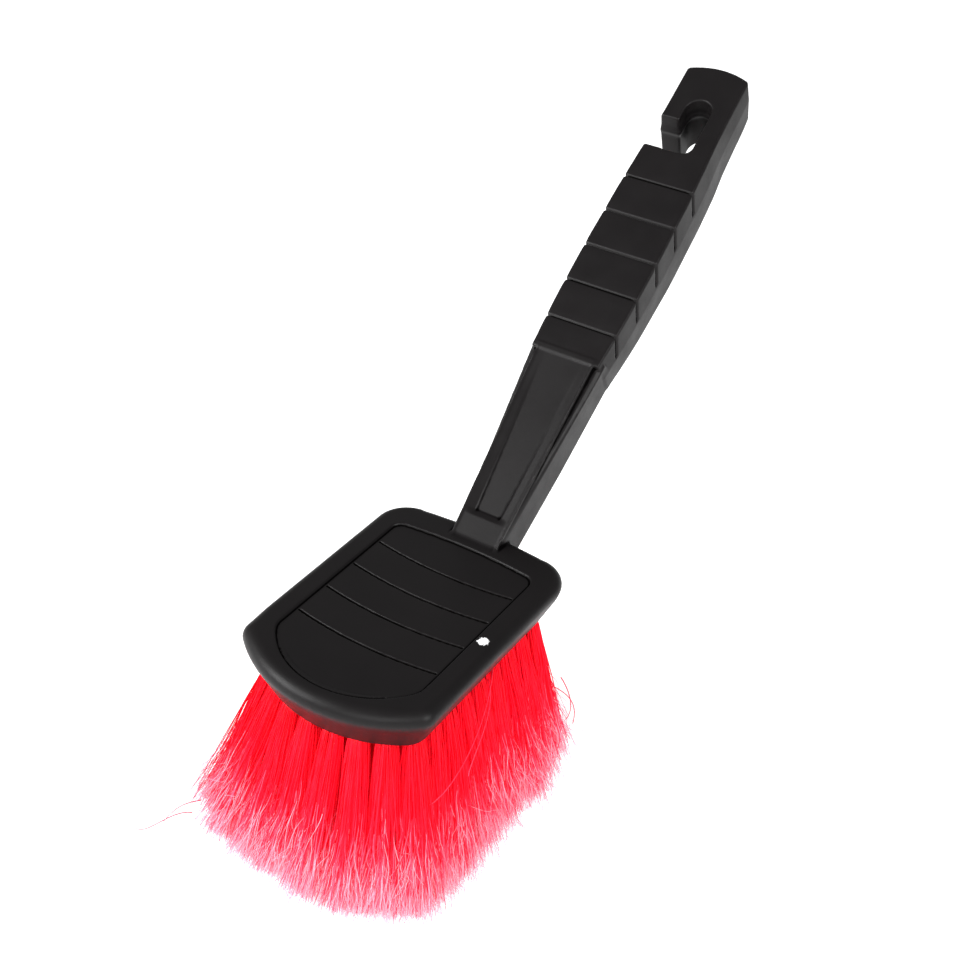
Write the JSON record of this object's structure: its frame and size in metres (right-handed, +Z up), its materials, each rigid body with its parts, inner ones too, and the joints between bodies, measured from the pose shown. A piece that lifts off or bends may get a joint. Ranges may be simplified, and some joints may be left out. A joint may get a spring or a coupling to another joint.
{
  "type": "wheel brush",
  "caption": "Short-handled wheel brush: arched black head with splayed soft tufts, angled neck, grooved grip and an open hang hook.",
  "frame": {"origin": "on the floor under the middle of the whole length, where the brush stands on its tips", "axes": "+Z up, +Y from the head towards the hang hook, +X to the right of a user who holds the grip with the head away from them"},
  "size_m": [0.0996, 0.2943, 0.2132],
  "materials": {
    "black_moulding": "satin moulded plastic with a fine grain",
    "red_filament": "soft red filament that pales to pink where its tips are flagged",
    "staple_wire": "drawn flat wire"
  },
  "bodies": {
    "root": {"handle_body": "black_moulding", "tuft_staples": "staple_wire", "tuft_outer_01": "red_filament", "tuft_outer_02": "red_filament", "tuft_outer_03": "red_filament", "tuft_outer_04": "red_filament", "tuft_outer_05": "red_filament", "tuft_outer_06": "red_filament", "tuft_outer_07": "red_filament", "tuft_outer_08": "red_filament", "tuft_outer_09": "red_filament", "tuft_outer_10": "red_filament", "tuft_outer_11": "red_filament", "tuft_outer_12": "red_filament", "tuft_outer_13": "red_filament", "tuft_outer_14": "red_filament", "tuft_outer_15": "red_filament", "tuft_outer_16": "red_filament", "tuft_outer_17": "red_filament", "tuft_outer_18": "red_filament", "tuft_outer_19": "red_filament", "tuft_outer_20": "red_filament", "tuft_outer_21": "red_filament", "tuft_outer_22": "red_filament", "tuft_outer_23": "red_filament", "tuft_outer_24": "red_filament", "tuft_outer_25": "red_filament", "tuft_outer_26": "red_filament", "tuft_outer_27": "red_filament", "tuft_outer_28": "red_filament", "tuft_outer_29": "red_filament", "tuft_outer_30": "red_filament", "tuft_middle_01": "red_filament", "tuft_middle_02": "red_filament", "tuft_middle_03": "red_filament", "tuft_middle_04": "red_filament", "tuft_middle_05": "red_filament", "tuft_middle_06": "red_filament", "tuft_middle_07": "red_filament", "tuft_middle_08": "red_filament", "tuft_middle_09": "red_filament", "tuft_middle_10": "red_filament", "tuft_middle_11": "red_filament", "tuft_middle_12": "red_filament", "tuft_middle_13": "red_filament", "tuft_middle_14": "red_filament", "tuft_middle_15": "red_filament", "tuft_middle_16": "red_filament", "tuft_middle_17": "red_filament", "tuft_inner_01": "red_filament", "tuft_inner_02": "red_filament", "tuft_inner_03": "red_filament", "tuft_inner_04": "red_filament", "tuft_inner_05": "red_filament", "tuft_inner_06": "red_filament", "tuft_inner_07": "red_filament", "tuft_inner_08": "red_filament", "tuft_inner_09": "red_filament", "tuft_inner_10": "red_filament", "tuft_inner_11": "red_filament"}
  },
  "joints": []
}
